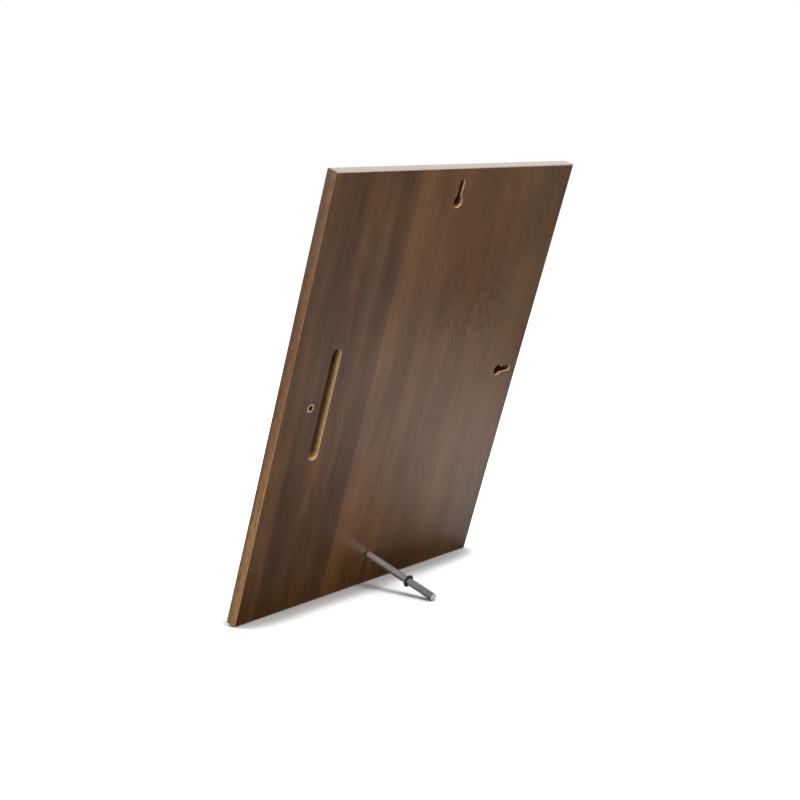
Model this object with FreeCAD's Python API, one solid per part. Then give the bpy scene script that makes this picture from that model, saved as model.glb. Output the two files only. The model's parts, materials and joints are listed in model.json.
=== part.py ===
import FreeCAD, Part
import math
import os

# A solid photo panel that stands on a screw-in peg, or hangs from keyhole slots.
# Lengths are in millimetres. The panel is drawn upright: X across it, the picture side
# towards -Y, the back face in the plane Y = 0, the bottom edge in Z = 0. At the end it is
# leaned back on the peg, and the origin goes to the middle of the footprint, on the table.

# Panel
panel_width = 279.4
panel_height = 355.6
core_thickness = 8.0
laminate_thickness = 0.4
band_thickness = 1.0
arris_radius = 0.75
picture_thickness = 0.2
picture_margin = 1.6

# Keyhole slots, cut with a T-slot cutter
keyhole_edge_distance = 9.2
keyhole_travel = 14.6
keyhole_head_radius = 4.75
keyhole_neck_radius = 2.4
keyhole_lip = 2.5
keyhole_depth = 6.5

# Round-bottomed groove that stores the peg: the rubber ring is squeezed in it, and a
# finger lifts the peg out by the spare length at its ends
groove_edge_distance = 43.9
groove_ring_squeeze = 0.29
groove_straight_wall = 0.65
groove_end_room = 9.4

# The routed openings have their edge eased where they come through the laminate
opening_ease = 0.25

# Threaded brass inserts
insert_edge_distance = 29.0
insert_radius = 3.25
insert_length = 6.5
insert_collar = 0.7
insert_knurl_length = 2.0
insert_knurl_depth = 0.2
insert_knurl_teeth = 20
insert_waist_length = 0.8
insert_waist_radius = 2.85
insert_bore_radius = 1.65
insert_countersink = 0.45
insert_hole_spare = 0.7

# Peg
rod_radius = 3.0
rod_length = 72.0
rod_neck_gap = 1.3
rod_tip_chamfer = 0.7
rod_root_chamfer = 0.4
rod_dimple_radius = 0.9
rod_dimple_depth = 0.8
rod_socket_depth = 8.0
stud_clearance = 0.03
stud_end_gap = 0.4
stud_chamfer = 0.4

# Rubber ring on the peg
ring_section_radius = 1.0
ring_distance = 46.0
ring_clearance = 0.04

# Cutters run out of the surface by this much
overrun = 1.0

# Worked out from the sizes above
panel_thickness = core_thickness + 2 * laminate_thickness
half_width = panel_width / 2
half_height = panel_height / 2
insert_hole_depth = insert_length + insert_hole_spare
stud_radius = insert_bore_radius - stud_clearance
stud_nose = stud_end_gap - insert_hole_depth
peg_reach = rod_neck_gap + rod_length
ring_outer_radius = rod_radius + ring_clearance + 2 * ring_section_radius
groove_radius = ring_outer_radius - groove_ring_squeeze
groove_depth = groove_radius + groove_straight_wall
groove_length = peg_reach - stud_nose + groove_end_room
middle = 0


def vector(x, y, z):
    return FreeCAD.Vector(x, y, z)


ALONG_X = vector(1, 0, 0)
ALONG_Y = vector(0, 1, 0)
ALONG_Z = vector(0, 0, 1)
OUT_OF_BACK = ALONG_Y


def block(low, high):
    """A box between two corners."""
    size = high - low
    return Part.makeBox(size.x, size.y, size.z, low)


def pin(radius, start, end):
    """A cylinder square to the panel, from one Y to another, at the X and Z of start."""
    reach = end - start
    return Part.makeCylinder(radius, reach.Length, start, reach)


def turned(points):
    """A solid of revolution about Y. Each point is (radius, Y)."""
    outline = Part.makePolygon([vector(radius, y, 0) for radius, y in points + points[:1]])
    return Part.Face(outline).revolve(vector(0, 0, 0), ALONG_Y, 360)


def round_slot(wide, narrow, top, bottom):
    """A slot between two round ends, each (X, Z, radius), cut from Y = top down to bottom.
    Its straight walls run to the narrow end, so a wider first end makes a keyhole."""
    start = vector(wide[0], top, wide[1])
    end = vector(narrow[0], top, narrow[1])
    wide_radius, narrow_radius = wide[2], narrow[2]
    along = (end - start).normalize()
    side = along.cross(OUT_OF_BACK) * narrow_radius
    mouth = start + along * math.sqrt(wide_radius**2 - narrow_radius**2)
    wire = Part.Wire([
        Part.makeLine(mouth + side, end + side),
        Part.Arc(end + side, end + along * narrow_radius, end - side).toShape(),
        Part.makeLine(end - side, mouth - side),
        Part.Arc(mouth - side, start - along * wide_radius, mouth + side).toShape(),
    ])
    return Part.Face(wire).extrude(vector(0, bottom - top, 0))


def keyhole_cutter(entry, rest):
    """The space a screw head enters at entry and slides along to rest, both (X, Z)."""
    head, neck = keyhole_head_radius, keyhole_neck_radius
    lip = round_slot((*entry, head), (*rest, neck), overrun, -keyhole_lip)
    undercut = round_slot((*entry, head), (*rest, head), -keyhole_lip, -keyhole_depth)
    return lip.fuse(undercut).removeSplitter()


def top_keyhole():
    rest = panel_height - keyhole_edge_distance - keyhole_neck_radius
    return keyhole_cutter((middle, rest - keyhole_travel), (middle, rest))


def side_keyhole():
    rest = -half_width + keyhole_edge_distance + keyhole_neck_radius
    return keyhole_cutter((rest + keyhole_travel, half_height), (rest, half_height))


def peg_groove():
    """The path of a ball-ended cutter, upright in the panel."""
    x = half_width - groove_edge_distance
    straight = groove_length - 2 * groove_radius
    low = half_height - straight / 2
    wall_foot = -groove_straight_wall
    corner = groove_radius * math.sqrt(0.5)
    half_section = Part.Wire([
        Part.makeLine(vector(0, overrun, 0), vector(groove_radius, overrun, 0)),
        Part.makeLine(vector(groove_radius, overrun, 0), vector(groove_radius, wall_foot, 0)),
        Part.Arc(
            vector(groove_radius, wall_foot, 0),
            vector(corner, wall_foot - corner, 0),
            vector(0, -groove_depth, 0),
        ).toShape(),
        Part.makeLine(vector(0, -groove_depth, 0), vector(0, overrun, 0)),
    ])
    half_face = Part.Face(half_section)
    tool = half_face.revolve(vector(0, 0, 0), ALONG_Y, 360)
    right = half_face.extrude(ALONG_Z * straight)
    left = right.mirror(vector(0, 0, 0), ALONG_X)
    ends = [tool.translated(vector(x, 0, low + end * straight)) for end in (0, 1)]
    sides = [side.translated(vector(x, 0, low)) for side in (right, left)]
    return ends[0].fuse([ends[1]] + sides).removeSplitter()


def insert_places():
    """The (X, Z) of each insert: both lie as far from their own edge of the panel."""
    return {
        "bottom_insert": (middle, insert_edge_distance),
        "side_insert": (half_width - insert_edge_distance, half_height),
    }


def insert_holes():
    return [
        pin(insert_radius, vector(x, -insert_hole_depth, z), vector(x, overrun, z))
        for x, z in insert_places().values()
    ]


def panel_envelope():
    """The finished panel as one block, with every outer arris rounded."""
    outside = block(
        vector(-half_width, -panel_thickness, 0), vector(half_width, 0, panel_height)
    )
    return outside.makeFillet(arris_radius, outside.Edges)


def layer(front, back):
    """A sheet inside the edge bands, between two depths."""
    return block(
        vector(-half_width + band_thickness, front, band_thickness),
        vector(half_width - band_thickness, back, panel_height - band_thickness),
    )


def eased(sheet):
    """The sheet with the edge of each hole in its back face chamfered."""
    back = max(sheet.Faces, key=lambda face: face.CenterOfMass.y)
    rims = [wire for wire in back.Wires if not wire.isSame(back.OuterWire)]
    return sheet.makeChamfer(opening_ease, [edge for rim in rims for edge in rim.Edges])


def board_layers():
    core_back = -laminate_thickness
    core_front = core_back - core_thickness
    routed = [top_keyhole(), side_keyhole(), peg_groove()]
    drilled = insert_holes()
    return {
        "back_laminate": eased(layer(core_back, 0).cut(routed)).cut(drilled),
        "core_panel": layer(core_front, core_back).cut(routed + drilled),
        "front_laminate": layer(-panel_thickness, core_front),
    }


def picture_sheet():
    return block(
        vector(
            -half_width + picture_margin, -panel_thickness - picture_thickness, picture_margin
        ),
        vector(
            half_width - picture_margin, -panel_thickness, panel_height - picture_margin
        ),
    )


def edge_bands():
    """The side bands run the full height, over the ends of the top and bottom bands."""
    envelope = panel_envelope()
    inner = half_width - band_thickness
    front = -panel_thickness
    strips = {
        "edge_band_left": (-half_width, -inner, 0, panel_height),
        "edge_band_right": (inner, half_width, 0, panel_height),
        "edge_band_bottom": (-inner, inner, 0, band_thickness),
        "edge_band_top": (-inner, inner, panel_height - band_thickness, panel_height),
    }
    return {
        name: envelope.common(block(vector(x0, front, z0), vector(x1, 0, z1)))
        for name, (x0, x1, z0, z1) in strips.items()
    }


def knurl(outer, inner):
    """A band of straight knurling on the insert, between two depths."""
    root = insert_radius - insert_knurl_depth
    step = math.pi / insert_knurl_teeth
    points = []
    for corner in range(2 * insert_knurl_teeth + 1):
        radius = root if corner % 2 else insert_radius
        angle = corner * step
        points.append(vector(radius * math.cos(angle), outer, radius * math.sin(angle)))
    return Part.Face(Part.makePolygon(points)).extrude(vector(0, inner - outer, 0))


def insert():
    """A press-in threaded insert, its mouth flush with the back of the panel."""
    first_knurl = -insert_collar
    waist = first_knurl - insert_knurl_length
    second_knurl = waist - insert_waist_length
    pilot = second_knurl - insert_knurl_length
    collar = turned([(0, 0), (insert_radius, 0), (insert_radius, first_knurl), (0, first_knurl)])
    stem = turned([
        (0, first_knurl),
        (insert_waist_radius, first_knurl),
        (insert_waist_radius, -insert_length),
        (0, -insert_length),
    ])
    body = collar.fuse([stem, knurl(first_knurl, waist), knurl(second_knurl, pilot)])
    mouth = insert_bore_radius + insert_countersink
    bore = turned([
        (0, 0),
        (mouth, 0),
        (insert_bore_radius, -insert_countersink),
        (insert_bore_radius, -insert_length),
        (0, -insert_length),
    ])
    return body.removeSplitter().cut(bore)


def inserts():
    return {
        name: insert().translated(vector(x, 0, z)) for name, (x, z) in insert_places().items()
    }


def peg_rod():
    """A turned rod: chamfered tip with a centre dimple, and a socket for the stud."""
    root = rod_neck_gap
    tip = peg_reach
    socket_end = root + rod_socket_depth
    drill_point = socket_end + stud_radius / 2
    outside = turned([
        (0, root),
        (rod_radius - rod_root_chamfer, root),
        (rod_radius, root + rod_root_chamfer),
        (rod_radius, tip - rod_tip_chamfer),
        (rod_radius - rod_tip_chamfer, tip),
        (rod_dimple_radius, tip),
        (0, tip - rod_dimple_depth),
    ])
    socket = turned([(0, root), (stud_radius, root), (stud_radius, socket_end), (0, drill_point)])
    return outside.cut(socket)


def peg_stud():
    """The threaded stud, from the bottom of the rod's socket nearly to the end of the hole."""
    outer = rod_neck_gap + rod_socket_depth
    end_radius = stud_radius - stud_chamfer
    return turned([
        (0, stud_nose),
        (end_radius, stud_nose),
        (stud_radius, stud_nose + stud_chamfer),
        (stud_radius, outer - stud_chamfer),
        (end_radius, outer),
        (0, outer),
    ])


def rubber_ring():
    """A ring that grips the rod, and holds the peg in its groove when it is put away."""
    centre = rod_radius + ring_clearance + ring_section_radius
    return Part.makeTorus(centre, ring_section_radius, vector(0, ring_distance, 0), ALONG_Y)


def peg():
    x, z = insert_places()["bottom_insert"]
    pieces = {"peg_rod": peg_rod(), "peg_stud": peg_stud(), "rubber_ring": rubber_ring()}
    return {name: piece.translated(vector(x, 0, z)) for name, piece in pieces.items()}


def lean_angle():
    """How far the panel leans back, in degrees, with its rear bottom arris and the rim of
    the peg's tip on the same level table."""
    rise = insert_edge_distance - rod_radius - arris_radius
    run = peg_reach - rod_tip_chamfer + arris_radius
    lean = math.atan2(rise, run) + math.asin(arris_radius / math.hypot(rise, run))
    return math.degrees(lean)


def stood_up(pieces):
    """The pieces leaned back on the peg, with the origin under the middle of the whole."""
    for piece in pieces.values():
        piece.rotate(vector(0, 0, 0), ALONG_X, -lean_angle())
    whole = Part.makeCompound(list(pieces.values())).optimalBoundingBox(False, False)
    shift = vector(-whole.Center.x, -whole.Center.y, -whole.ZMin)
    for piece in pieces.values():
        piece.translate(shift)
    print("lean", lean_angle(), "shift", shift)
    return pieces


def main():
    pieces = {**board_layers(), "picture_sheet": picture_sheet(), **edge_bands()}
    pieces.update(inserts())
    pieces.update(peg())
    os.makedirs("parts", exist_ok=True)
    for name, piece in stood_up(pieces).items():
        piece.exportStep(os.path.join("parts", name + ".step"))
        print(name, "valid", piece.isValid(), "solids", len(piece.Solids), "mm3", piece.Volume)


main()
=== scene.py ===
import json
import math

import bpy
from mathutils import Matrix, Vector


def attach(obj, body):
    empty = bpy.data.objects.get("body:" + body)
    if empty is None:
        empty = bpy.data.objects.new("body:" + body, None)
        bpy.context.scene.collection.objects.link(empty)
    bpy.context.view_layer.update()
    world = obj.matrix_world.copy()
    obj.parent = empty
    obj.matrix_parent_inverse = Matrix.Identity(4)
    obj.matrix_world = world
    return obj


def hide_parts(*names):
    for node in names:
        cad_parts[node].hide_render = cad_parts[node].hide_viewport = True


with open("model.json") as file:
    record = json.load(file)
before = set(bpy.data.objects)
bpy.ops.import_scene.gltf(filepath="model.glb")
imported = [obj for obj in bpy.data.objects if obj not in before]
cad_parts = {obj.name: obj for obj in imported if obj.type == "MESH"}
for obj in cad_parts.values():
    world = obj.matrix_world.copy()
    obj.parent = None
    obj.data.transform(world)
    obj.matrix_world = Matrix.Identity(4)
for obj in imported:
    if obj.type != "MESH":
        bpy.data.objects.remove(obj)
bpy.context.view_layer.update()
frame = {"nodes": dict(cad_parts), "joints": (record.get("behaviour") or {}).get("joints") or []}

MM = 0.001

# The peg's screw joint says how the panel leans and where the peg's insert is: OUT points
# square out of the back of the panel, and MOUTH is the middle of the insert's mouth.
peg_joint = next(joint for joint in frame["joints"] if joint["name"] == "peg_turn")
OUT = Vector(peg_joint["axis"]).normalized()
MOUTH = Vector(peg_joint["pos_m"])
ACROSS = Vector((1, 0, 0))
UP = ACROSS.cross(OUT)
LEAN = math.atan2(-OUT.z, OUT.y)

# Panel, in millimetres. Each insert is as far in from its edge as the other. PANEL_FOOT, in
# metres, is the middle of the back face's bottom edge.
PANEL_WIDTH = 279.4
PANEL_HEIGHT = 355.6
PANEL_THICKNESS = 8.8
HALF_WIDTH = PANEL_WIDTH / 2
HALF_HEIGHT = PANEL_HEIGHT / 2
INSERT_INSET = 29.0
PEG_HEIGHT = INSERT_INSET
SIDE_INSERT_X = HALF_WIDTH - INSERT_INSET
PANEL_FOOT = MOUTH - UP * PEG_HEIGHT * MM

# Thread M4 x 0.7, in millimetres: the stud's crest and root, and the insert's, cut wider.
# The tap runs from TAP_END inside the insert to TAP_START, past its mouth.
PITCH = 0.7
STUD_CREST = 1.97
STUD_ROOT = 1.57
TAPPED_CREST = 2.03
TAPPED_ROOT = 1.66
TAP_END = -6.2
TAP_START = 0.5

# Peg, in millimetres along its axis from the back face
ROD_ROOT = 1.3
ROD_TIP = 73.3
ROD_RADIUS = 3.0
STUD_NOSE = -6.8
STUD_END = 9.0
RING_PLACE = 46.0
RING_MIDDLE = 4.04
RING_SECTION = 0.98

# Fineness of the new pieces, and the turns that a thread has to spare before it is cut
TURNING_STEPS = 96
RING_STEPS = 32
THREAD_STEPS = 48
EDGE_STEPS = 2
SPARE_TURNS = 2
MERGE = 1e-7

WHITE = (1.0, 1.0, 1.0, 1.0)
ROOM_LIGHT = 0.12

# Lamps, in metres: name, place, what it points at, width, height and brightness of its face
LAMPS = [
    ("side lamp", (1.33, 0.42, 0.35), (0, 0, 0.17), 0.6, 0.6, 19.0),
    ("high lamp", (0, 0.90, 1.56), (0, 0, 0), 0.75, 0.35, 46.0),
    ("broad lamp", (-1.27, -0.60, 1.27), (0, 0, 0.3), 1.9, 1.9, 1.3),
    ("front lamp", (0.7, -1.6, 0.9), (0, 0, 0.17), 0.8, 0.8, 10.0),
]

# Floor, in metres: its size, and its paint as the camera sees it
FLOOR_SIZE = 14
FLOOR_PALE = 0.85

# Its paint as other light sees it: a painted pool of light, fading outwards into a dim floor
POOL_MIDDLE = (-0.27, 0.05, 0)
POOL_INSIDE, POOL_OUTSIDE = 0.04, 0.28
POOL_PALE, POOL_DIM = 0.60, 0.12

# Contact shadows on it: how far each looks for cover, the share of open sky where it is
# darkest and where it ends, and how dark it gets. They end at the panel's side, where the
# side lamp stands.
SHADOWS = [(0.060, 0.28, 0.72, 0.46), (0.026, 0.58, 0.97, 0.56)]
SHADOW_SIDE = HALF_WIDTH * MM - 0.001
SHADOW_FADE = 0.004
SHADOW_SAMPLES = 8

# Where the floor glows a little for the camera: away from the object, and before the panel
GLOW_START, GLOW_FULL = 0.10, 0.40
FRONT_START, FRONT_FULL = -0.062, -0.080
FRONT_GLOW = 0.24

# Rays off the peg that reach the floor within this length, behind the panel, find it pale
MIRROR_NEAR, MIRROR_FAR = 0.030, 0.048
PEG_SIDE_START, PEG_SIDE_FULL = -0.026, -0.016


def all_deselected():
    bpy.ops.object.select_all(action="DESELECT")


def only(piece):
    """The piece selected and active, alone."""
    all_deselected()
    piece.select_set(True)
    bpy.context.view_layer.objects.active = piece


def edit():
    bpy.ops.object.mode_set(mode="EDIT")


def done():
    bpy.ops.object.mode_set(mode="OBJECT")


def drawn_line(name, points):
    """A wire through points given as (radius, height), in millimetres."""
    all_deselected()
    bpy.ops.mesh.primitive_plane_add(size=MM)
    line = bpy.context.object
    line.name = name
    edit()
    bpy.ops.mesh.merge(type="CENTER")
    start = points[0]
    bpy.ops.transform.translate(value=(start[0] * MM, 0, start[1] * MM))
    for before, after in zip(points, points[1:]):
        step = ((after[0] - before[0]) * MM, 0, (after[1] - before[1]) * MM)
        bpy.ops.mesh.extrude_vertices_move(TRANSFORM_OT_translate={"value": step})
    done()
    return line


def sound_skin():
    """In edit mode: doubles merged and every face turned outwards."""
    bpy.ops.mesh.select_all(action="SELECT")
    bpy.ops.mesh.remove_doubles(threshold=MERGE)
    bpy.ops.mesh.normals_make_consistent(inside=False)


def lathe_turned(name, outline):
    """The outline spun round the upright axis, as on a lathe."""
    piece = drawn_line(name, outline)
    edit()
    bpy.ops.mesh.select_all(action="SELECT")
    bpy.ops.mesh.spin(
        steps=TURNING_STEPS, angle=2 * math.pi, center=(0, 0, 0), axis=(0, 0, 1)
    )
    sound_skin()
    done()
    return piece


def applied(piece, kind, **settings):
    """A modifier given its settings and applied."""
    only(piece)
    bpy.ops.object.modifier_add(type=kind)
    modifier = piece.modifiers[-1]
    for setting, value in settings.items():
        setattr(modifier, setting, value)
    bpy.ops.object.modifier_apply(modifier=modifier.name)


def broken_edges(piece, width, sharper_than=25):
    """Every sharp edge rounded a little, as a file or a tumbler leaves it."""
    applied(
        piece, "BEVEL", width=width * MM, segments=EDGE_STEPS, limit_method="ANGLE",
        angle_limit=math.radians(sharper_than), use_clamp_overlap=True,
    )


def smoothed(piece, angle=30):
    only(piece)
    bpy.ops.object.shade_smooth_by_angle(angle=math.radians(angle))


def put_on_axis(piece, x=0.0, height=PEG_HEIGHT):
    """The piece stood square on the back of the panel, its place then left in its mesh."""
    mouth = PANEL_FOOT + ACROSS * x * MM + UP * height * MM
    square = Matrix((ACROSS, -UP, OUT)).transposed().to_4x4()
    only(piece)
    piece.matrix_world = Matrix.Translation(mouth) @ square
    bpy.ops.object.transform_apply(location=True, rotation=True, scale=True)


def threaded_bar(name, crest, root, low, high):
    """A bar with a right-hand thread on it, its ends cut square."""
    first = math.floor(low / PITCH) - SPARE_TURNS
    turns = math.ceil(high / PITCH) + SPARE_TURNS - first
    flat, flank, crest_flat = PITCH / 8, PITCH * 5 / 16, PITCH / 16
    start = first * PITCH
    ridge = [
        (root, start),
        (root, start + flat),
        (crest, start + flat + flank),
        (crest, start + flat + flank + crest_flat),
        (root, start + flat + 2 * flank + crest_flat),
        (root, start + PITCH),
    ]
    bar = drawn_line(name, ridge)
    applied(
        bar, "SCREW", angle=2 * math.pi, screw_offset=PITCH * MM, iterations=turns,
        steps=THREAD_STEPS, render_steps=THREAD_STEPS, axis="Z",
    )
    edit()
    sound_skin()
    for cut, above in ((low, True), (high, False)):
        bpy.ops.mesh.select_all(action="SELECT")
        bpy.ops.mesh.bisect(
            plane_co=(0, 0, cut * MM), plane_no=(0, 0, 1), use_fill=True,
            clear_inner=above, clear_outer=not above,
        )
    sound_skin()
    done()
    return bar


def shaped_by(piece, tool, operation):
    """The piece cut by a tool, or kept only inside it. The tool is used up."""
    applied(piece, "BOOLEAN", object=tool, operation=operation, solver="EXACT")
    bpy.data.objects.remove(tool)


def peg_rod():
    """A turned rod: rounded chamfer and centre-drilled dimple at the tip, and a drilled
    socket with a countersunk mouth at the root."""
    tip_chamfer, root_chamfer, edge_radius = 0.7, 0.4, 0.06
    socket_radius, socket_depth, drill_point = 2.0, 8.2, 1.0
    sink_radius, sink_depth = 2.35, 0.35
    dimple_radius, dimple_depth = 0.9, 0.8
    step_radius, step_depth = 0.55, 0.42
    rod = lathe_turned("turned_peg_rod", [
        (0, ROD_ROOT + socket_depth + drill_point),
        (socket_radius, ROD_ROOT + socket_depth),
        (socket_radius, ROD_ROOT + sink_depth),
        (sink_radius, ROD_ROOT),
        (ROD_RADIUS - root_chamfer, ROD_ROOT),
        (ROD_RADIUS, ROD_ROOT + root_chamfer),
        (ROD_RADIUS, ROD_TIP - tip_chamfer),
        (ROD_RADIUS - tip_chamfer, ROD_TIP),
        (dimple_radius, ROD_TIP),
        (step_radius, ROD_TIP - step_depth),
        (0, ROD_TIP - dimple_depth),
    ])
    broken_edges(rod, edge_radius)
    smoothed(rod)
    put_on_axis(rod)
    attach(rod, "peg")
    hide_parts("peg_rod")
    return rod


def peg_stud():
    """The stud that screws the rod into the panel, with its thread cut full length. Its ends
    are turned to a lead."""
    stud = threaded_bar("threaded_peg_stud", STUD_CREST, STUD_ROOT, STUD_NOSE, STUD_END)
    lead, trimmed, over = 0.45, 0.02, 0.1
    blank = lathe_turned("stud_blank", [
        (0, STUD_NOSE + trimmed),
        (STUD_CREST - lead, STUD_NOSE + trimmed),
        (STUD_CREST + over, STUD_NOSE + trimmed + lead + over),
        (STUD_CREST + over, STUD_END - lead - over),
        (STUD_CREST - lead, STUD_END - trimmed),
        (0, STUD_END - trimmed),
    ])
    shaped_by(stud, blank, "INTERSECT")
    smoothed(stud)
    put_on_axis(stud)
    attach(stud, "peg")
    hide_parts("peg_stud")
    return stud


def tapped_insert(node, name, x, height):
    """A brass insert with its thread cut into its bore. The thread's two starts match, so
    the stud turns in it without touching."""
    insert = bpy.data.objects.new(name, frame["nodes"][node].data.copy())
    bpy.context.scene.collection.objects.link(insert)
    only(insert)
    edit()
    bpy.ops.mesh.customdata_custom_splitnormals_clear()
    sound_skin()
    done()
    tap = threaded_bar(name + "_tap", TAPPED_CREST, TAPPED_ROOT, TAP_END, TAP_START)
    put_on_axis(tap, x, height)
    shaped_by(insert, tap, "DIFFERENCE")
    smoothed(insert)
    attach(insert, "board")
    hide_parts(node)
    return insert


def rubber_ring():
    """A moulded ring with the fine ridge that its mould's joint leaves round the outside."""
    ridge_height, skin = 0.05, 0.005
    outside = RING_MIDDLE + RING_SECTION
    all_deselected()
    bpy.ops.mesh.primitive_torus_add(
        major_segments=TURNING_STEPS, minor_segments=RING_STEPS, major_radius=RING_MIDDLE * MM,
        minor_radius=RING_SECTION * MM, location=(0, 0, RING_PLACE * MM),
    )
    ring = bpy.context.object
    ring.name = "moulded_rubber_ring"
    bpy.ops.object.transform_apply(location=True, rotation=True, scale=True)
    edit()
    bpy.ops.mesh.select_mode(type="VERT")
    bpy.ops.mesh.select_all(action="DESELECT")
    done()
    for vertex in ring.data.vertices:
        vertex.select = vertex.co.xy.length > (outside - skin) * MM
    edit()
    ridge = (outside + ridge_height) / outside
    bpy.ops.transform.resize(
        value=(ridge, ridge, 1), center_override=(0, 0, RING_PLACE * MM)
    )
    sound_skin()
    done()
    smoothed(ring, 60)
    put_on_axis(ring)
    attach(ring, "ring")
    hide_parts("rubber_ring")
    return ring


class Signal:
    """A number that varies over a surface. Arithmetic on it adds Math nodes."""

    def __init__(self, shading, socket):
        self.shading = shading
        self.socket = socket

    def maths(self, operation, *others):
        values = dict(enumerate([self, *others]))
        return self.shading.node("ShaderNodeMath", {"operation": operation}, values).number(0)

    def __add__(self, other):
        return self.maths("ADD", other)

    def __sub__(self, other):
        return self.maths("SUBTRACT", other)

    def __rsub__(self, other):
        return (self * -1) + other

    def __mul__(self, other):
        return self.maths("MULTIPLY", other)

    def __truediv__(self, other):
        return self.maths("DIVIDE", other)

    __radd__ = __add__
    __rmul__ = __mul__

    def size(self):
        return self.maths("ABSOLUTE")

    def sine(self):
        return self.maths("SINE")

    def root(self):
        return self.maths("SQRT")

    def smaller(self, other):
        return self.maths("MINIMUM", other)

    def larger(self, other):
        return self.maths("MAXIMUM", other)

    def rising(self, low, high, start=0.0, end=1.0):
        """From start at low to end at high, smoothly, and level beyond. Low may be more."""
        made = self.shading.node(
            "ShaderNodeMapRange", {"interpolation_type": "SMOOTHSTEP"},
            {"Value": self, "From Min": low, "From Max": high, "To Min": start, "To Max": end},
        )
        return made.number("Result")

    def within(self, start, full, ease, end):
        """1 from full to ease, falling smoothly to 0 at start and at end."""
        return self.rising(start, full) * self.rising(end, ease)


class Node:
    """One shader node."""

    def __init__(self, shading, made):
        self.shading = shading
        self.made = made

    def number(self, output):
        return Signal(self.shading, self.made.outputs[output])

    def link(self, output):
        return self.made.outputs[output]


class Shading:
    """The nodes of one material, or of the world, built one by one."""

    def __init__(self, owner):
        self.owner = owner
        owner.use_nodes = True
        self.tree = owner.node_tree
        self.tree.nodes.clear()

    def node(self, kind, settings=None, sockets=None):
        """A node of this kind. Its settings come first, then its sockets."""
        made = self.tree.nodes.new(kind)
        for setting, value in (settings or {}).items():
            if setting == "ramp":
                self.lay_ramp(made.color_ramp, *value)
            else:
                setattr(made, setting, value)
        self.feed(made, sockets or {})
        return Node(self, made)

    def feed(self, made, sockets):
        """Values or links put on a node's sockets."""
        for key, value in sockets.items():
            socket = made.inputs[key]
            if isinstance(value, Signal):
                value = value.socket
            if isinstance(value, bpy.types.NodeSocket):
                self.tree.links.new(value, socket)
            else:
                socket.default_value = value

    def lay_ramp(self, ramp, stops, interpolation):
        """A ramp's stops, each (place, grey or colour)."""
        while len(ramp.elements) > 1:
            ramp.elements.remove(ramp.elements[-1])
        for count, (place, colour) in enumerate(stops):
            stop = ramp.elements.new(place) if count else ramp.elements[0]
            stop.position = place
            if isinstance(colour, (int, float)):
                colour = (colour,) * 3
            stop.color = (*colour, 1)
        ramp.interpolation = interpolation

    def split(self, vector):
        """The three numbers of a vector."""
        parts = self.node("ShaderNodeSeparateXYZ", None, {"Vector": vector})
        return [parts.number(axis) for axis in "XYZ"]

    def distance(self, place, point):
        return self.node(
            "ShaderNodeVectorMath", {"operation": "DISTANCE"}, {0: place, 1: point}
        ).number("Value")


class Finish(Shading):
    """The material of one finish, in millimetres on the panel: X across it, Y out of its
    back face and Z up it from its bottom edge."""

    def __init__(self, name, ior, specular=0.5):
        super().__init__(bpy.data.materials.new(name))
        shine = {"IOR": ior, "Specular IOR Level": specular}
        self.shader = self.node("ShaderNodeBsdfPrincipled", None, shine)
        self.node("ShaderNodeOutputMaterial", None, {"Surface": self.shader.link("BSDF")})
        turned_back = Matrix.Rotation(LEAN, 3, "X")
        where = self.node("ShaderNodeTexCoord").link("Object")
        self.panel = self.node("ShaderNodeMapping", {"vector_type": "POINT"}, {
            "Vector": where,
            "Location": turned_back @ PANEL_FOOT / -MM,
            "Rotation": (LEAN, 0, 0),
            "Scale": (1 / MM,) * 3,
        }).link("Vector")
        self.x, self.y, self.z = self.split(self.panel)

    def noise(self, across, out, along, shift=0.0, detail=2.0, rough=0.5):
        """Noise from 0 to 1, whose blotches have about this size, in millimetres. The shift
        gives it a pattern of its own."""
        scaled = self.node(
            "ShaderNodeVectorMath", {"operation": "MULTIPLY"},
            {0: self.panel, 1: (1 / across, 1 / out, 1 / along)},
        ).link("Vector")
        place = self.node(
            "ShaderNodeVectorMath", {"operation": "ADD"}, {0: scaled, 1: (shift,) * 3}
        ).link("Vector")
        return self.noise_at(place, detail, rough)

    def noise_at(self, place, detail=2.0, rough=0.5):
        return self.node(
            "ShaderNodeTexNoise", {"noise_dimensions": "3D"},
            {"Vector": place, "Scale": 1.0, "Detail": detail, "Roughness": rough},
        ).number("Fac")

    def point(self, x, y, z):
        """A vector from three numbers."""
        numbers = {"X": x, "Y": y, "Z": z}
        return self.node("ShaderNodeCombineXYZ", None, numbers).link("Vector")

    def radius_from(self, x, height):
        """How far from the axis of the insert at this place."""
        over, high = self.x - x, self.z - height
        return (over * over + high * high).root()

    def mixed(self, share, first, second, blend="MIX"):
        """Two colours mixed, share of the second."""
        sockets = {0: share, 6: first, 7: second}
        for key in (6, 7):
            if isinstance(sockets[key], tuple):
                sockets[key] = (*sockets[key], 1.0)
        return self.node(
            "ShaderNodeMix", {"data_type": "RGBA", "blend_type": blend}, sockets
        ).link(2)

    def scaled(self, colour, by):
        """A colour made lighter or darker by a varying number."""
        return self.node(
            "ShaderNodeVectorMath", {"operation": "SCALE"}, {0: colour, "Scale": by}
        ).link("Vector")

    def ramp(self, by, stops, interpolation="LINEAR"):
        return self.node("ShaderNodeValToRGB", {"ramp": (stops, interpolation)}, {"Fac": by})

    def relief(self, height, depth):
        """A bump of this depth in millimetres, where the height is 1."""
        return self.node(
            "ShaderNodeBump", None, {"Height": height, "Distance": depth * MM, "Strength": 1.0}
        ).link("Normal")

    def wears(self, colour, roughness, normal, metallic=0.0):
        """What varies over the surface, put on the shader."""
        self.feed(self.shader.made, {
            "Base Color": colour, "Roughness": roughness, "Normal": normal,
            "Metallic": metallic,
        })
        return self.owner


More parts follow.
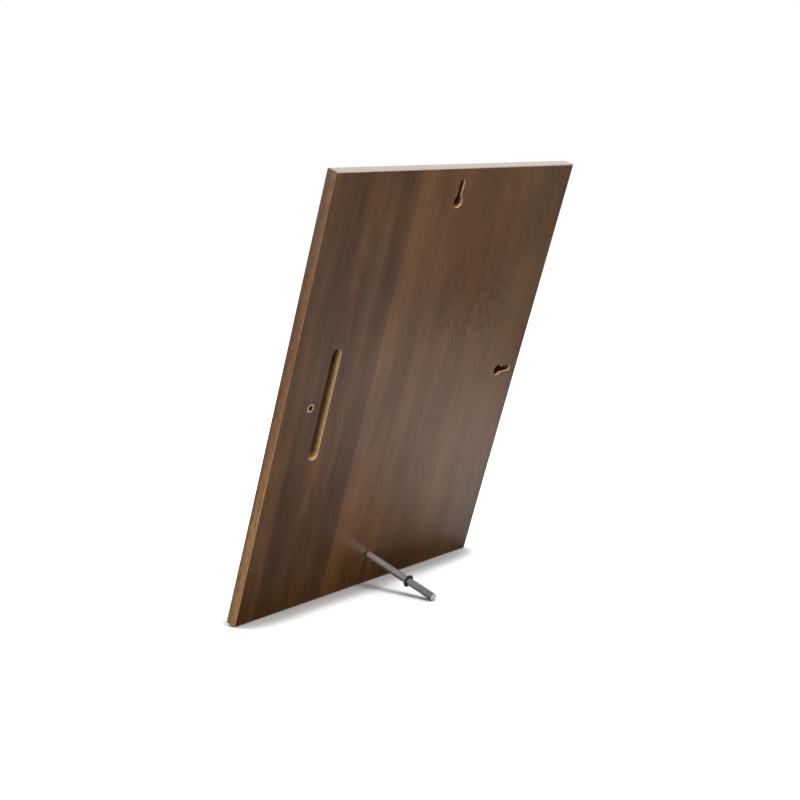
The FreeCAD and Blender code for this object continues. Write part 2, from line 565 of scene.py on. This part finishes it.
def walnut_laminate():
    """Walnut decor of planks laid side by side, grain upright, under a low gloss."""
    finish = Finish("walnut laminate", 1.5)
    x, y, z = finish.x, finish.y, finish.z
    wander = (finish.noise(55, 55, 150, 3.0, 1.0) - 0.5) * 18
    planks = finish.ramp((HALF_WIDTH - x + wander * 0.10) / PANEL_WIDTH, [
        (0.0, 0.34), (0.055, 0.36), (0.07, 0.22), (0.16, 0.30), (0.21, 0.42),
        (0.245, 0.46), (0.255, 0.24), (0.325, 0.30), (0.332, 0.66), (0.39, 0.66),
        (0.402, 0.52), (0.46, 0.48), (0.475, 0.60), (0.525, 0.62), (0.54, 0.46),
        (0.66, 0.50), (0.72, 0.55), (0.76, 0.60), (0.80, 0.50), (0.865, 0.48),
        (0.875, 0.54), (0.95, 0.44), (1.0, 0.36),
    ]).number("Color")

    # Near the top the planks are closer to each other, and to this tone
    shared_tone = 0.40
    planks = (planks - shared_tone) * z.rising(190, 310, 1.0, 0.65) + shared_tone

    # Grain from wide to fine, the streaks and lines bent by the planks' wander
    bent = x + wander
    streaks = finish.noise_at(finish.point(bent / 11, y / 30, z / 240), 3.0)
    lines = finish.noise_at(finish.point(bent / 2.2, y / 9, z / 75))
    fibres = finish.noise(0.9, 2.7, 34, 18.0, 3.0, 0.62)
    pores = finish.noise(0.42, 1.2, 6.5, 24.0, 1.0).rising(0.58, 0.70)
    clouds = finish.noise(42, 42, 95, 29.0)
    lively = x.rising(44, 52, 0.48, 1.0)

    # Nested arches where the veneer was cut through the heart of the tree
    off_heart = (x + wander * 1.4 - 92) / 17
    arches = ((off_heart * off_heart * 1.6 + z / 62 + clouds * 1.4) * 9).sine()
    arches_place = x.within(62, 76, 112, 126)

    # Curly figure, a patch where the fibres wave and catch the light in short dashes
    curl = finish.noise(2.3, 4.0, 9.0, 41.0) - 0.5
    curl_place = x.within(-110, -84, -22, 4) * z.within(196, 226, 252, 285)

    # Darker areas: a dark patch in the wood, and painted shade along the foot near the floor,
    # below and beside the peg as its painted shadow, and towards the top left
    dark_patch = x.within(-120, -60, -30, 20) * z.within(205, 240, 262, 310)
    painted_foot_shade = z.rising(90, 15)
    painted_peg_shadow = x.within(-95, -60, -20, 15) * z.rising(55, 10)
    painted_top_left_shade = x.rising(30, 110) * z.rising(190, 330)

    tone = (
        planks
        + (streaks - 0.5) * lively * 0.85
        + (lines - 0.5) * (lively * 0.2 + 0.2)
        + (clouds - 0.5) * 0.70
        + (fibres - 0.5) * 0.54
        + arches * arches_place * 0.05
        + curl * curl_place * 1.05
        - dark_patch * 0.20
        # Painted shade near the foot, the peg's painted shadow, and painted shade towards the
        # top left
        - painted_foot_shade * 0.20
        - painted_peg_shadow * 0.22
        - painted_top_left_shade * 0.13
    )
    wood = finish.ramp(tone, [
        (0.0, (0.056, 0.0270, 0.0128)), (0.30, (0.096, 0.0455, 0.0196)),
        (0.52, (0.139, 0.0650, 0.0262)), (0.75, (0.192, 0.0905, 0.0355)),
        (1.0, (0.260, 0.1260, 0.0510)),
    ]).link("Color")

    # Greyer and warmer drifts in the same tone: how much of each, and its tint
    grey = finish.noise(24, 24, 120, 51.0, 3.0).rising(0.50, 0.66)
    warm = finish.noise(20, 20, 90, 63.0, 3.0).rising(0.52, 0.70)
    burnished = x.within(-75, -20, 35, 60) * z.rising(105, 50)
    olive_side = x.rising(-55, -105) * z.rising(170, 240)
    warm_foot = x.rising(-105, -70) * z.rising(75, 25)
    drift = (1.0, 1.0, 1.0)
    for share, tint in (
        (grey * 0.60, (0.92, 1.02, 1.12)),
        (warm * 0.45, (1.06, 0.99, 0.80)),
        (burnished.larger(dark_patch * 0.8) * 0.6, (1.12, 0.97, 0.70)),
        (olive_side * 0.8, (0.98, 1.10, 1.22)),
        (warm_foot * 0.8, (1.10, 0.97, 0.60)),
    ):
        drift = finish.mixed(share, drift, tint)
    wood = finish.mixed(1.0, wood, drift, "MULTIPLY")
    wood = finish.mixed(pores * 0.32, wood, (0.026, 0.0135, 0.008))

    # The laminate's own board shows where the openings are cut through it
    below = y.within(-7.9, -7.0, -0.08, -0.03)
    fray = finish.noise(0.5, 0.5, 0.5, 5.0)
    board = finish.scaled((0.40, 0.27, 0.14), 0.7 + fray * 0.5)
    colour = finish.mixed(below, wood, board)
    shine = 0.30 + fibres * 0.10 + pores * 0.12 + below * 0.4
    grain = fibres * 0.25 - pores * 0.6
    return finish.wears(colour, shine, finish.relief(grain, 0.012))


def walnut_band(name, upright):
    """Walnut decor edge band. The grain runs along it. A painted highlight makes it paler at the
    back's arris, and it is dark at the front's. Painted light and shade make it paler towards
    the bottom and darker towards the top."""
    finish = Finish(name, 1.5)

    def grained(width, out, length, *rest):
        if upright:
            return finish.noise(width, out, length, *rest)
        return finish.noise(length, out, width, *rest)

    # Painted shade: the end bands start darker than the side bands. Painted highlight: the paler
    # arris colour, and how much of it shows at the top
    middle, top_highlight_share, arris_highlight = (
        (0.5, 0.30, (0.32, 0.19, 0.10)) if upright else (0.2, 0.85, (0.46, 0.36, 0.29))
    )
    streaks = grained(3.0, 1.6, 190, 17.0, 3.0, 0.6)
    fibres = grained(0.5, 0.34, 30, 23.0, 3.0, 0.65)
    pores = grained(0.3, 0.22, 4.0, 31.0, 1.0).rising(0.58, 0.70)
    flecks = grained(1.1, 0.9, 9.0, 37.0, 3.0, 0.6)
    tone = (
        middle
        + (streaks - 0.5) * 1.3
        + (fibres - 0.5) * 1.2
        + (flecks - 0.5) * 1.3
        # Painted light and shade: paler towards the bottom, darker towards the top
        + finish.z.rising(PANEL_HEIGHT, 0.0, -0.50, 0.10)
    )
    wood = finish.ramp(tone, [
        (0.0, (0.070, 0.030, 0.011)), (0.35, (0.127, 0.060, 0.023)),
        (0.6, (0.194, 0.098, 0.039)), (1.0, (0.294, 0.165, 0.074)),
    ]).link("Color")
    wood = finish.mixed(pores * 0.5, wood, (0.035, 0.019, 0.011))
    # Painted highlight along the back's arris, more of it towards the bottom
    near_back = finish.y.rising(-0.55, -0.20)
    near_front = finish.y.rising(2.2 - PANEL_THICKNESS, 1.4 - PANEL_THICKNESS)
    arris_highlight_share = finish.z.rising(PANEL_HEIGHT, 0.0, top_highlight_share, 0.75)
    colour = finish.mixed(near_back * arris_highlight_share, wood, arris_highlight)
    colour = finish.mixed(near_front * 0.7, colour, (0.045, 0.030, 0.020))
    grain = fibres * 0.4 - pores * 0.6
    return finish.wears(colour, 0.26 + fibres * 0.12, finish.relief(grain, 0.014))


def fibreboard():
    """Cut fibreboard: tan and fuzzy, with darker and paler fibres, and darkened by painted shade
    deep in the groove and the keyholes."""
    finish = Finish("fibreboard", 1.45, specular=0.25)
    fuzz = finish.noise(0.35, 0.35, 0.9, 3.0, 4.0, 0.7)
    clumps = finish.noise(2.2, 1.2, 3.0, 9.0, 3.0)
    specks = finish.noise(0.28, 0.28, 0.5, 21.0, 1.0).rising(0.64, 0.74)
    # Painted shade, darker the deeper into the groove and the keyholes
    painted_depth_shade = finish.y.rising(-1.2, -5.0) * 0.42
    painted_keyhole_shade = finish.y.rising(-0.7, -2.0) * finish.x.rising(85, 70) * 0.40
    tone = 0.5 + (fuzz - 0.5) * 0.8 + (clumps - 0.5) * 0.5 - painted_depth_shade.larger(painted_keyhole_shade)
    colour = finish.ramp(tone, [
        (0.0, (0.085, 0.040, 0.012)), (0.25, (0.150, 0.080, 0.027)),
        (0.5, (0.290, 0.185, 0.085)), (0.75, (0.380, 0.255, 0.130)),
        (1.0, (0.500, 0.360, 0.205)),
    ]).link("Color")
    colour = finish.mixed(specks * 0.5, colour, (0.10, 0.055, 0.025))
    return finish.wears(colour, 0.78 + fuzz * 0.2, finish.relief(fuzz + clumps * 0.5, 0.09))


def satin_aluminium():
    """Turned aluminium with the fine rings that the tool leaves and a satin grain. Painted shade
    darkens it towards the tip; the faced end keeps a bright metal tone."""
    finish = Finish("satin aluminium", 1.4)
    rings = finish.noise(400, 0.16, 400, 3.0, 2.0, 0.6)
    wide_rings = finish.noise(400, 1.7, 400, 9.0)
    grain = finish.noise(0.6, 0.12, 0.6, 13.0, 2.0, 0.6)
    handled = finish.noise(5, 9, 5, 19.0)
    tone = 0.5 + (rings - 0.5) * 0.5 + (wide_rings - 0.5) * 0.35 + (handled - 0.5) * 0.4
    colour = finish.ramp(tone, [
        (0.0, (0.28, 0.26, 0.245)), (0.5, (0.36, 0.34, 0.32)), (1.0, (0.47, 0.45, 0.42)),
    ]).link("Color")
    # Painted shade, darker towards the tip; the faced end keeps a bright metal tone
    painted_tip_shade = finish.y.rising(5, ROD_TIP)
    colour = finish.mixed(painted_tip_shade, colour, (0.088, 0.091, 0.093))
    fresh_end = finish.y.rising(ROD_TIP - 0.75, ROD_TIP - 0.5)
    colour = finish.mixed(fresh_end, colour, (0.40, 0.395, 0.38))
    shine = 0.36 + rings * 0.10 + handled * 0.10
    metal = (handled * 0.02 + 0.98).smaller(1.0)
    return finish.wears(colour, shine, finish.relief(rings * 0.7 + grain * 0.5, 0.006), metal)


def dark_steel():
    """Blackened steel, worn bright on the crests of the thread."""
    finish = Finish("dark steel", 1.5)
    worn = finish.radius_from(0.0, PEG_HEIGHT).rising(1.8, 1.98)
    mottle = finish.noise(0.5, 0.5, 0.5, 5.0, 3.0)
    colour = finish.ramp(mottle * 0.6 + worn * 0.5, [
        (0.0, (0.020, 0.020, 0.021)), (0.5, (0.060, 0.059, 0.058)),
        (1.0, (0.24, 0.235, 0.225)),
    ]).link("Color")
    shine, metal = 0.34 + mottle * 0.2, 0.9 + worn * 0.1
    return finish.wears(colour, shine, finish.relief(mottle, 0.01), metal)


def turned_brass(name, x, height, painted_insert_shade):
    """Yellow brass with turning marks round the insert's axis, darkened all over by this much
    painted shade, and painted dark with shade in its bore."""
    finish = Finish(name, 1.45)
    radius = finish.radius_from(x, height)
    rings = finish.noise_at(finish.point(radius / 0.12, finish.y / 0.2, 0.0), 2.0, 0.6)
    dull = finish.noise(1.6, 1.6, 1.6, 9.0, 3.0)
    tone = 0.5 + (rings - 0.5) * 0.5 + (dull - 0.5) * 0.6
    colour = finish.ramp(tone, [
        (0.0, (0.56, 0.42, 0.17)), (0.5, (0.80, 0.64, 0.30)), (1.0, (0.93, 0.80, 0.46)),
    ]).link("Color")
    # Painted shade over the whole insert, as much as given
    colour = finish.mixed(painted_insert_shade, colour, (0.13, 0.095, 0.06))
    # Painted shade in the bore
    bore = radius.rising(2.30, 1.95)
    colour = finish.mixed(bore * 0.92, colour, (0.040, 0.028, 0.016))
    shine, metal = 0.34 + dull * 0.2, 0.80 + dull * 0.1
    return finish.wears(colour, shine, finish.relief(rings, 0.008), metal)


def black_rubber():
    """Matt moulded rubber with a little bloom."""
    finish = Finish("black rubber", 1.5, specular=0.14)
    bloom = finish.noise(1.5, 1.5, 1.5, 3.0, 3.0)
    grain = finish.noise(0.12, 0.12, 0.12, 9.0)
    colour = finish.ramp(bloom * 0.7 + grain * 0.3, [
        (0.25, (0.0060, 0.0060, 0.0064)), (0.75, (0.016, 0.0157, 0.0154)),
    ]).link("Color")
    return finish.wears(colour, 0.62 + bloom * 0.2, finish.relief(grain, 0.012))


def picture_print():
    """A plain print under a satin film: a soft blend with no motif, inside a white border."""
    finish = Finish("picture print", 1.48)
    drift = (finish.noise(150, 150, 95, 3.0) - 0.5) * 0.16
    blend = finish.ramp(finish.z / PANEL_HEIGHT + drift, [
        (0.0, (0.52, 0.40, 0.29)), (0.30, (0.66, 0.55, 0.43)), (0.48, (0.74, 0.69, 0.61)),
        (0.66, (0.56, 0.63, 0.65)), (1.0, (0.30, 0.42, 0.50)),
    ], "B_SPLINE").link("Color")
    border, softness = 7.0, 0.15
    from_side = HALF_WIDTH - finish.x.size()
    from_end = HALF_HEIGHT - (finish.z - HALF_HEIGHT).size()
    printed = from_side.smaller(from_end).rising(border, border + softness)
    tooth = finish.noise(0.45, 0.45, 0.45, 9.0, 3.0, 0.6)
    paper = finish.scaled((0.80, 0.795, 0.78), 0.97 + tooth * 0.06)
    ink = finish.scaled(blend, 0.975 + tooth * 0.05)
    colour = finish.mixed(printed, paper, ink)
    return finish.wears(colour, 0.34 + tooth * 0.08, finish.relief(tooth, 0.012))


def dressed(piece, material):
    """The piece with this finish alone."""
    piece.data.materials.clear()
    piece.data.materials.append(material)


def studio_floor():
    """A floor that is white to the camera under the lamps, with the object's own shadow and
    soft contact shadows. To other light its paint is dim, but for a painted pool of light that
    the panel's back mirrors, and it is pale to short rays off the peg."""
    all_deselected()
    bpy.ops.mesh.primitive_plane_add(size=FLOOR_SIZE, location=(0, 0, 0))
    floor = bpy.context.object
    floor.name = "studio_floor"
    shading = Shading(bpy.data.materials.new("studio floor"))
    where = shading.node("ShaderNodeTexCoord").link("Object")
    across, out = shading.split(where)[:2]
    rays = shading.node("ShaderNodeLightPath")
    seen = rays.number("Is Camera Ray")
    mirrored = rays.number("Is Glossy Ray") + rays.number("Is Transmission Ray")
    close = rays.number("Ray Length").rising(MIRROR_FAR, MIRROR_NEAR)
    off_peg = mirrored * close * out.rising(PEG_SIDE_START, PEG_SIDE_FULL)

    shade = 1.0
    for reach, covered, clear, depth in SHADOWS:
        sky = shading.node(
            "ShaderNodeAmbientOcclusion", {"samples": SHADOW_SAMPLES}, {"Distance": reach}
        ).number("AO")
        shade = sky.rising(covered, clear, depth, 1.0) * shade
    beside = across.rising(SHADOW_SIDE, SHADOW_SIDE + SHADOW_FADE)
    shade = shade.larger(beside)

    from_pool = shading.distance(where, POOL_MIDDLE)
    dim = from_pool.rising(POOL_INSIDE, POOL_OUTSIDE, POOL_PALE, POOL_DIM) * shade
    pale = (dim + (FLOOR_PALE - dim) * seen.larger(off_peg)) * shade
    colour = shading.node(
        "ShaderNodeCombineColor", None, {"Red": pale, "Green": pale, "Blue": pale}
    ).link("Color")
    paint = shading.node("ShaderNodeBsdfDiffuse", None, {"Color": colour})

    away = shading.distance(where, (0.0, 0.0, 0.0)).rising(GLOW_START, GLOW_FULL)
    before = out.rising(FRONT_START, FRONT_FULL) * FRONT_GLOW
    glow = seen * away.larger(beside).larger(before)
    light = shading.node("ShaderNodeEmission", None, {"Color": WHITE, "Strength": glow})
    both = shading.node(
        "ShaderNodeAddShader", None, {0: paint.link("BSDF"), 1: light.link("Emission")}
    )
    shading.node("ShaderNodeOutputMaterial", None, {"Surface": both.link("Shader")})
    floor.data.materials.append(shading.owner)


def soft_lamp(name, place, aim, width, height, brightness):
    """A rectangular soft lamp. Brightness is that of its face, where 1 is paper white."""
    lamp = bpy.data.lights.new(name, "AREA")
    lamp.shape = "RECTANGLE"
    lamp.size, lamp.size_y = width, height
    lamp.energy = brightness * math.pi * width * height
    stand = bpy.data.objects.new(name, lamp)
    bpy.context.scene.collection.objects.link(stand)
    stand.location = place
    stand.rotation_euler = (Vector(aim) - Vector(place)).to_track_quat("-Z", "Y").to_euler()


def studio_world():
    """White to the camera and in reflections, and a soft even light on everything."""
    shading = Shading(bpy.data.worlds.new("studio"))
    bpy.context.scene.world = shading.owner
    rays = shading.node("ShaderNodeLightPath")
    seen = (
        rays.number("Is Camera Ray") + rays.number("Is Glossy Ray")
        + rays.number("Is Transmission Ray")
    )
    level = seen.rising(0.0, 1.0, ROOM_LIGHT, 1.0)
    sky = shading.node("ShaderNodeBackground", None, {"Color": WHITE, "Strength": level})
    shading.node("ShaderNodeOutputWorld", None, {"Surface": sky.link("Background")})


def camera():
    """A camera where the photograph's was."""
    lens = bpy.data.cameras.new("camera")
    lens.lens = 65.84
    lens.sensor_width = 36
    lens.clip_start = 0.01
    lens.clip_end = 60
    stand = bpy.data.objects.new("camera", lens)
    bpy.context.scene.collection.objects.link(stand)
    stand.location = (0.8547, 0.7256, 0.3415)
    stand.rotation_euler = [math.radians(turn) for turn in (80.685, 1.4445, 130.3334)]
    bpy.context.scene.camera = stand


camera()
studio_floor()
studio_world()
for lamp in LAMPS:
    soft_lamp(*lamp)

new_pieces = {
    "peg_rod": peg_rod(),
    "peg_stud": peg_stud(),
    "rubber_ring": rubber_ring(),
    "bottom_insert": tapped_insert(
        "bottom_insert", "tapped_bottom_insert", 0.0, PEG_HEIGHT
    ),
    "side_insert": tapped_insert(
        "side_insert", "tapped_side_insert", SIDE_INSERT_X, HALF_HEIGHT
    ),
}

laminate = walnut_laminate()
upright_band = walnut_band("walnut side band", True)
level_band = walnut_band("walnut end band", False)
finishes = {
    "back_laminate": laminate,
    "front_laminate": laminate,
    "core_panel": fibreboard(),
    "picture_sheet": picture_print(),
    "edge_band_left": upright_band,
    "edge_band_right": upright_band,
    "edge_band_top": level_band,
    "edge_band_bottom": level_band,
    "peg_rod": satin_aluminium(),
    "peg_stud": dark_steel(),
    "rubber_ring": black_rubber(),
    "bottom_insert": turned_brass("bottom insert brass", 0.0, PEG_HEIGHT, 0.75),
    "side_insert": turned_brass("side insert brass", SIDE_INSERT_X, HALF_HEIGHT, 0.0),
}
for node, material in finishes.items():
    dressed(frame["nodes"][node], material)
for node, piece in new_pieces.items():
    dressed(piece, finishes[node])

bpy.context.scene.view_settings.view_transform = "Standard"
